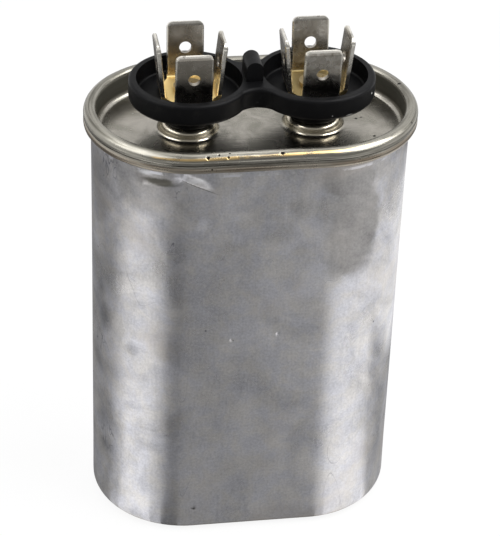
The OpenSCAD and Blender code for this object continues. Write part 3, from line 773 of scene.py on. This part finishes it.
class CapacitorCan(bpy.types.Operator):
    """Models the drawn can with its dents and wandering wall"""

    bl_idname = "capacitor.can"
    bl_label = "Drawn can"

    def execute(self, context):
        can = context.scene.capacitor_can
        cover = context.scene.capacitor_cover
        seam_out = 2 * cover.sheet + can.sheet
        end_radius = cover_high.y - seam_out
        turn_radius = can.sheet + cover.sheet / 2
        turn_z = can_top - turn_radius
        hook_end = turn_z - (cover.seam_height - seam_out)
        inner_radius = can.bottom_radius - can.sheet
        corner = (-can.bottom_radius, can.bottom_radius)
        section = [(-end_radius, 0)]
        section += straight_run((-end_radius, 0), (-can.bottom_radius, 0), 2 * MM)
        section += arc(corner, can.bottom_radius, -90, 0, 10)
        fine_z = seam_top - FINE_ZONE
        section += straight_run((0, can.bottom_radius), (0, fine_z), can.row_height)
        section += straight_run((0, fine_z), (0, turn_z), can.top_row_height)
        section += arc((cover.sheet / 2, turn_z), cover.sheet / 2, 180, 0, 6)
        section += [(cover.sheet, hook_end), (cover.sheet + can.sheet, hook_end)]
        section += arc((cover.sheet / 2, turn_z), turn_radius, 0, 180, 10)
        section += straight_run((-can.sheet, turn_z), (-can.sheet, can.bottom_radius), 20 * MM)
        section += arc(corner, inner_radius, 0, -90, 6)
        section += [(-end_radius, can.sheet)]
        bm = bmesh.new()
        geometry = add_section(bm, section, lambda x, z: (0, -end_radius - x, z))
        sweep_round(bm, geometry, end_centre, *CAN_STEPS)
        close_up(bm)
        self.wander(bm, can)
        self.tool_marks(bm, can, end_radius, seam_top - cover.seam_height)
        self.pinpricks(bm, end_radius)
        finish_piece(bm, "drawn_can", [worn_aluminium()], ["can"])
        return {"FINISHED"}

    def wander(self, bm, can):
        """Sets the wall's faces back a little here and there, less towards its ends"""
        bm.normal_update()
        still_z = seam_top - STILL_ZONE
        for vert in bm.verts:
            x, y, z = vert.co
            if z < can.bottom_radius or z > still_z:
                continue
            fade = smoothstep(can.bottom_radius, 12 * MM, z) * smoothstep(still_z, 70 * MM, z)
            drift = noise.noise(Vector((x * 70, y * 70, z * 32)))
            vert.co += vert.normal * min(0, drift * 0.5 - 0.5) * can.waviness * fade

    def tool_marks(self, bm, can, radius, seam_low):
        """Presses in the hollow and the crease that closing the seam left beneath it"""
        for vert in bm.verts:
            x, y, z = vert.co
            if y > -8 * MM or z < 70 * MM or z > 78 * MM or x > 0:
                continue
            beyond = min(0, x + end_centre)
            reach = math.hypot(beyond, y)
            if reach < radius - 0.2 * MM or reach > radius + 0.1 * MM:
                continue
            along = max(x, -end_centre) + radius * math.atan2(beyond, -y)
            outward = Vector((beyond, y, 0)) / reach
            depth = 0
            hollow = level_along(HOLLOW_EDGE, along)
            if hollow is not None:
                ends = smoothstep(-22.6 * MM, -20.6 * MM, along) * smoothstep(-13.2 * MM, -15.5 * MM, along)
                depth = can.hollow_depth * ends * smoothstep(hollow, hollow + 0.9 * MM, z)
                depth -= 0.06 * MM * ends * bell(z, hollow - 0.1 * MM, 0.2 * MM)
            crease = level_along(CREASE_EDGE, along)
            if crease is not None:
                ends = smoothstep(-14.4 * MM, -13.2 * MM, along) * smoothstep(-7.6 * MM, -11 * MM, along)
                rise = min(1, max(0, (z - crease) / (1.5 * MM)))
                edge = smoothstep(crease - 0.12 * MM, crease + 0.12 * MM, z)
                fold = can.crease_depth * ends * rise
                depth = max(depth, fold) - 0.10 * MM * ends * bell(z, crease + 0.05 * MM, 0.12 * MM) * edge
            depth *= 1 - smoothstep(seam_low + 0.2 * MM, seam_low + 0.8 * MM, z)
            vert.co -= outward * depth

    def pinpricks(self, bm, radius):
        """Two small round pricks in the front, on a finer patch of wall"""
        for x, z in PINPRICKS:
            centre = Vector((x * MM, -radius, z * MM))
            near = [edge for edge in bm.edges
                    if all((vert.co - centre).length < 1.4 * MM for vert in edge.verts)]
            bmesh.ops.subdivide_edges(bm, edges=near, cuts=3, use_grid_fill=True)
            for vert in bm.verts:
                away = (vert.co - centre).length
                if away < 1.2 * MM and vert.co.y < -radius + 0.2 * MM:
                    vert.co.y += 0.2 * MM * bell(away, 0, 0.24 * MM)


class CapacitorCover(bpy.types.Operator):
    """Models the cover: the rolled seam, the pan and its two drawn collars"""

    bl_idname = "capacitor.cover"
    bl_label = "Seamed cover"

    def execute(self, context):
        can = context.scene.capacitor_can
        cover = context.scene.capacitor_cover
        bm = bmesh.new()
        self.seam(bm, can, cover)
        for side in SIDES.values():
            self.collar(bm, cover, side * end_centre)
        bmesh.ops.remove_doubles(bm, verts=bm.verts, dist=1e-6)
        rims = [edge for edge in bm.edges if edge.is_boundary and self.on_floor(edge, cover)]
        bmesh.ops.triangle_fill(bm, edges=rims, use_beauty=True, normal=(0, 0, 1))
        close_up(bm)
        self.roll_marks(bm, cover)
        piece = finish_piece(bm, "seamed_cover", [tinned_steel()], ["cover"])
        wall = piece.modifiers.new("sheet", "SOLIDIFY")
        wall.thickness = cover.sheet
        wall.offset = -1
        wall.use_even_offset = True
        return {"FINISHED"}

    def on_floor(self, edge, cover):
        floor_z = pan_under + cover.sheet
        return all(abs(vert.co.z - floor_z) < 0.01 * MM for vert in edge.verts)

    def seam(self, bm, can, cover):
        """The pan's wall and the seam, from the flat of the floor to the end of the cover hook"""
        seam_out = 2 * cover.sheet + can.sheet
        end_radius = cover_high.y - seam_out
        chuck = -can.sheet - cover.sheet
        floor_z = pan_under + cover.sheet
        curl = seam_out / 2
        curl_z = seam_top - cover.seam_height + curl
        lip = cover.lip_radius
        shoulder = cover.shoulder_radius
        fillet = (chuck - cover.floor_radius, floor_z + cover.floor_radius)
        section = [(fillet[0] - cover.holding, floor_z)]
        section += arc(fillet, cover.floor_radius, -90, 0, 8)
        section += straight_run((chuck, fillet[1]), (chuck, seam_top - lip), 0.5 * MM)
        section += arc((chuck + lip, seam_top - lip), lip, 180, 90, 6)
        section += straight_run((chuck + lip, seam_top), (seam_out - shoulder, seam_top), 0.3 * MM)
        section += arc((seam_out - shoulder, seam_top - shoulder), shoulder, 90, 0, 9)
        section += self.rolled_face(seam_out, seam_top - shoulder, curl_z, cover)
        section += arc((curl, curl_z), curl, 0, -180, 12)
        section += [(0, seam_top - cover.sheet - shoulder)]
        geometry = add_section(bm, section, lambda x, z: (0, -end_radius - x, z))
        sweep_round(bm, geometry, end_centre, *SEAM_STEPS)

    def rolled_face(self, outside, high, low, cover):
        """The seam's outer face, where the seaming roll leaves a groove between two low beads"""
        steps = 14
        points = []
        for step in range(1, steps):
            share = step / steps
            points.append((outside - cover.roll_hollow * bell(share, 0.42, 0.2) * math.sin(math.pi * share),
                           high + (low - high) * share))
        return points

    def collar(self, bm, cover, x):
        """A drawn collar, from the edge of its hole to the flat of the floor"""
        floor_z = pan_under + cover.sheet
        top = floor_z + cover.collar_height
        radius = cover.collar_diameter / 2
        foot = cover.collar_foot
        section = [(cover.collar_hole / 2, top)]
        section += arc((radius - cover.collar_shoulder, top - cover.collar_shoulder),
                       cover.collar_shoulder, 90, 0, 8)
        section += arc((radius + foot, floor_z + foot), foot, 180, 270, 6)
        section += [(radius + foot + cover.holding, floor_z)]
        geometry = add_section(bm, section, lambda reach, z: (x + reach, 0, z))
        bmesh.ops.spin(bm, geom=geometry, cent=(x, 0, 0), axis=(0, 0, 1), dvec=(0, 0, 0),
                       angle=2 * math.pi, steps=COLLAR_STEPS, use_merge=True)

    def roll_marks(self, bm, cover):
        """Small waves and knocks that rolling and handling left in the seam"""
        bm.normal_update()
        for vert in bm.verts:
            if vert.co.z < seam_top - cover.seam_height - MM / 2:
                continue
            drift = noise.noise(vert.co * 160) + 0.5 * noise.noise(vert.co * 420)
            vert.co -= vert.normal * max(0, drift + 0.35) * cover.knocks


class CapacitorInsulator(bpy.types.Operator):
    """Gives the moulded twin cup its black satin plastic"""

    bl_idname = "capacitor.insulator"
    bl_label = "Terminal insulator"

    def execute(self, context):
        dress("terminal_insulator", moulded_plastic())
        return {"FINISHED"}


class CapacitorTerminals(bpy.types.Operator):
    """Finishes the two folded terminals, the left one brighter at its plate"""

    bl_idname = "capacitor.terminals"
    bl_label = "Terminals"

    def execute(self, context):
        hardware = context.scene.capacitor_hardware
        bright = tuple(hardware.brass)
        brown = tuple(BROWN_SHARE * channel for channel in bright)
        dress("left_terminal", tarnished_brass("left_tarnished_brass", bright, 0.15))
        dress("right_terminal", tarnished_brass("right_tarnished_brass", brown, 0.6))
        return {"FINISHED"}


class CapacitorFastenings(bpy.types.Operator):
    """Finishes the rivets, gaskets, bushings, lugs and lead straps"""

    bl_idname = "capacitor.fastenings"
    bl_label = "Rivets, seals and straps"

    def execute(self, context):
        finishes = {
            "rivet": plain_metal("rivet_brass", (0.70, 0.55, 0.30), (0.50, 0.42, 0.27), 0.25),
            "gasket": soft_stuff(
                "gasket_rubber", (0.03, 0.028, 0.026), (0.05, 0.045, 0.04), 900, 0.7, 0.00003),
            "bushing": soft_stuff(
                "bushing_plastic", (0.62, 0.56, 0.40), (0.55, 0.5, 0.36), 400, 0.4, 0.00001),
            "lug": plain_metal("lug_brass", (0.68, 0.60, 0.42), (0.52, 0.46, 0.33), 0.28),
            "lead": plain_metal("lead_strap", (0.72, 0.52, 0.40), (0.60, 0.46, 0.38), 0.3),
        }
        for kind, material in finishes.items():
            for side in SIDES:
                dress(f"{side}_{kind}", material)
        return {"FINISHED"}


class CapacitorWinding(bpy.types.Operator):
    """Finishes the roll, its contacts and the insulation round it"""

    bl_idname = "capacitor.winding"
    bl_label = "Winding and insulation"

    def execute(self, context):
        film = soft_stuff("winding_film", (0.62, 0.64, 0.67), (0.5, 0.52, 0.55), 260, 0.25, 0.00001)
        zinc = plain_metal("sprayed_zinc", (0.42, 0.43, 0.45), (0.33, 0.34, 0.36), 0.6)
        wrap = soft_stuff("wrap_film", (0.78, 0.74, 0.6), (0.7, 0.65, 0.5), 150, 0.3, 0.00001)
        board = soft_stuff("insulating_board", (0.55, 0.43, 0.27), (0.46, 0.35, 0.21), 600, 0.75, 0.00005)
        dress("winding", film)
        dress("winding_wrap", wrap)
        for node in ("top_end_contact", "bottom_end_contact"):
            dress(node, zinc)
        for node in ("liner", "bottom_pad", "top_pad", "hold_down_spacer"):
            dress(node, board)
        return {"FINISHED"}


# ------------------------------------------------------------------- stage

def white_to_sight(tree):
    """1 for what the camera, metal or glass looks at, 0 for what lights the object"""
    rays = tree.nodes.new("ShaderNodeLightPath")
    total = rays.outputs["Is Camera Ray"]
    for kind in ("Is Glossy Ray", "Is Transmission Ray"):
        either = tree.nodes.new("ShaderNodeMath")
        either.operation = "ADD"
        either.use_clamp = True
        tree.links.new(total, either.inputs[0])
        tree.links.new(rays.outputs[kind], either.inputs[1])
        total = either.outputs[0]
    return total


def pale_surface(name, colour, shadow_share):
    """A pale floor that the camera, metal and plastic see as white, with the object's shadow on it"""
    material = bpy.data.materials.new(name)
    material.use_nodes = True
    tree = material.node_tree
    tree.nodes.clear()
    share = tree.nodes.new("ShaderNodeMath")
    share.operation = "MULTIPLY"
    tree.links.new(white_to_sight(tree), share.inputs[0])
    share.inputs[1].default_value = 1 - shadow_share
    paint = tree.nodes.new("ShaderNodeBsdfDiffuse")
    paint.inputs["Color"].default_value = (*colour, 1)
    glow = tree.nodes.new("ShaderNodeEmission")
    mix = tree.nodes.new("ShaderNodeMixShader")
    tree.links.new(share.outputs[0], mix.inputs[0])
    tree.links.new(paint.outputs[0], mix.inputs[1])
    tree.links.new(glow.outputs[0], mix.inputs[2])
    output = tree.nodes.new("ShaderNodeOutputMaterial")
    tree.links.new(mix.outputs[0], output.inputs["Surface"])
    return material


def glossy_only(name, bm, tone):
    """Makes a stage mesh that only metal and plastic see, in one even tone"""
    mesh = bpy.data.meshes.new(name)
    bm.to_mesh(mesh)
    bm.free()
    material = bpy.data.materials.new(name)
    material.use_nodes = True
    tree = material.node_tree
    tree.nodes.clear()
    glow = tree.nodes.new("ShaderNodeEmission")
    glow.inputs["Color"].default_value = (tone, tone, tone, 1)
    output = tree.nodes.new("ShaderNodeOutputMaterial")
    tree.links.new(glow.outputs[0], output.inputs["Surface"])
    mesh.materials.append(material)
    card = bpy.data.objects.new(name, mesh)
    bpy.context.scene.collection.objects.link(card)
    card.visible_camera = False
    card.visible_diffuse = False
    card.visible_shadow = False
    card.visible_transmission = False


def stage_card(name, corners, tone):
    """A flat grey card, as a studio uses to shape reflections"""
    bm = bmesh.new()
    bm.faces.new([bm.verts.new(corner) for corner in corners])
    glossy_only(name, bm, tone)


def wall_point(turn, radius):
    """A place on the oval round the object; turn in degrees, 0 at the front's right end"""
    angle = math.radians(turn)
    shift = math.copysign(end_centre, turn) if turn else 0
    return Vector((shift + radius * math.sin(angle), -radius * math.cos(angle), CARD_LIFT))


def mirrored_card(name, start, end, reach, tone, view_turn):
    """A card on the floor that the wall shows between two turns, seen from the camera's side"""
    corners = []
    for turn, lengths in ((start, (0, reach)), (end, (reach, 0))):
        foot = wall_point(turn, CARD_START)
        away = math.radians(2 * turn + view_turn)
        for length in lengths:
            corners.append(foot + length * Vector((math.sin(away), -math.cos(away), 0)))
    stage_card(name, corners, tone)


def around(turn, rise, distance):
    """A place round the object: turn from the front towards the right, and rise, in degrees"""
    turn, rise = math.radians(turn), math.radians(rise)
    return (distance * math.sin(turn) * math.cos(rise), -distance * math.cos(turn) * math.cos(rise),
            LAMP_TARGET[2] + distance * math.sin(rise))


def area_lamp(name, place, target, size, power):
    data = bpy.data.lights.new(name, "AREA")
    data.shape = "RECTANGLE"
    data.size, data.size_y = size
    data.energy = power
    lamp = bpy.data.objects.new(name, data)
    lamp.location = place
    lamp.rotation_euler = (Vector(target) - Vector(place)).to_track_quat("-Z", "Y").to_euler()
    bpy.context.scene.collection.objects.link(lamp)


class CapacitorStage(bpy.types.Operator):
    """Sets up the pale floor, the soft lamps and the camera"""

    bl_idname = "capacitor.stage"
    bl_label = "Stage"

    def execute(self, context):
        stage = context.scene.capacitor_stage
        self.floor()
        self.sky(stage)
        self.cards(stage)
        for name, turn, rise, size, power in (
                ("left_softbox", -80, 52, (0.45, 0.40), 0.7 * stage.key_power),
                ("right_softbox", 72, 52, (0.45, 0.40), 1.5 * stage.key_power),
                ("rear_softbox", 180, 62, (0.45, 0.25), 0.5 * stage.top_power)):
            area_lamp(name, around(turn, rise, LAMP_DISTANCE), LAMP_TARGET, size, power)
        self.camera(stage)
        return {"FINISHED"}

    def floor(self):
        bm = bmesh.new()
        bmesh.ops.create_grid(bm, x_segments=1, y_segments=1, size=3)
        mesh = bpy.data.meshes.new("floor")
        bm.to_mesh(mesh)
        bm.free()
        mesh.materials.append(pale_surface("pale_floor", (0.9, 0.9, 0.9), 0.1))
        floor = bpy.data.objects.new("floor", mesh)
        bpy.context.scene.collection.objects.link(floor)

    def sky(self, stage):
        world = bpy.data.worlds.new("soft_surround")
        world.use_nodes = True
        tree = world.node_tree
        tree.nodes.clear()
        level = tree.nodes.new("ShaderNodeMapRange")
        tree.links.new(white_to_sight(tree), level.inputs["Value"])
        level.inputs["To Min"].default_value = stage.ambient
        level.inputs["To Max"].default_value = 1
        back = tree.nodes.new("ShaderNodeBackground")
        tree.links.new(level.outputs[0], back.inputs["Strength"])
        output = tree.nodes.new("ShaderNodeOutputWorld")
        tree.links.new(back.outputs[0], output.inputs["Surface"])
        bpy.context.scene.world = world

    def cards(self, stage):
        view_turn = math.degrees(stage.yaw)
        for name, start, end, reach, tone in MIRRORED_CARDS:
            mirrored_card(name, start, end, reach, tone, view_turn)
        stage_card("back_card", *BACK_CARD)
        stage_card("front_flag", *FRONT_FLAG)
        self.far_table(*FAR_TABLE)

    def far_table(self, inner, outer, tone):
        """A darker ring of table beyond the white, which only what stands above the can mirrors"""
        bm = bmesh.new()
        start = bm.verts.new((inner, 0, 0.0004))
        end = bm.verts.new((outer, 0, 0.0004))
        edge = bm.edges.new((start, end))
        bmesh.ops.spin(bm, geom=[start, end, edge], cent=(0, 0, 0), axis=(0, 0, 1), dvec=(0, 0, 0),
                       angle=2 * math.pi, steps=64, use_merge=True)
        glossy_only("far_table", bm, tone)

    def camera(self, stage):
        data = bpy.data.cameras.new("camera")
        data.sensor_fit = "AUTO"
        data.sensor_width = 36
        data.lens = stage.lens
        data.clip_start = 0.02
        data.clip_end = 20
        camera = bpy.data.objects.new("camera", data)
        target = Vector(VIEW_TARGET)
        away = Vector((
            -math.sin(stage.yaw) * math.cos(stage.pitch),
            -math.cos(stage.yaw) * math.cos(stage.pitch),
            math.sin(stage.pitch)))
        camera.location = target + stage.distance * away
        facing = (-away).to_track_quat("-Z", "Y")
        lean = Quaternion((0, 0, 1), stage.roll)
        camera.rotation_mode = "QUATERNION"
        camera.rotation_quaternion = facing @ lean
        bpy.context.scene.collection.objects.link(camera)
        bpy.context.scene.camera = camera
        bpy.context.scene.view_settings.view_transform = "Standard"


# ------------------------------------------------------------------- panel

class CapacitorPanel(bpy.types.Panel):
    """Lists the capacitor's pieces and their settings"""

    bl_idname = "VIEW3D_PT_capacitor"
    bl_label = "Motor run capacitor"
    bl_space_type = "VIEW_3D"
    bl_region_type = "UI"
    bl_category = "Capacitor"

    def draw(self, context):
        layout = self.layout
        for operator in OPERATORS:
            layout.operator(operator.bl_idname)
        for name, group in SETTINGS.items():
            box = layout.box()
            for field in group.__annotations__:
                box.prop(getattr(context.scene, name), field)


SETTINGS = {
    "capacitor_can": CanSettings,
    "capacitor_cover": CoverSettings,
    "capacitor_hardware": HardwareSettings,
    "capacitor_stage": StageSettings,
}
OPERATORS = (
    CapacitorCan, CapacitorCover, CapacitorInsulator, CapacitorTerminals, CapacitorFastenings,
    CapacitorWinding, CapacitorStage,
)
CLASSES = (*SETTINGS.values(), *OPERATORS, CapacitorPanel)


def register():
    for cls in CLASSES:
        bpy.utils.register_class(cls)
    for name, group in SETTINGS.items():
        setattr(bpy.types.Scene, name, PointerProperty(type=group))


def unregister():
    for name in SETTINGS:
        delattr(bpy.types.Scene, name)
    for cls in reversed(CLASSES):
        bpy.utils.unregister_class(cls)


def main():
    register()
    bpy.ops.capacitor.can()
    bpy.ops.capacitor.cover()
    bpy.ops.capacitor.insulator()
    bpy.ops.capacitor.terminals()
    bpy.ops.capacitor.fastenings()
    bpy.ops.capacitor.winding()
    bpy.ops.capacitor.stage()


if __name__ == "__main__":
    main()
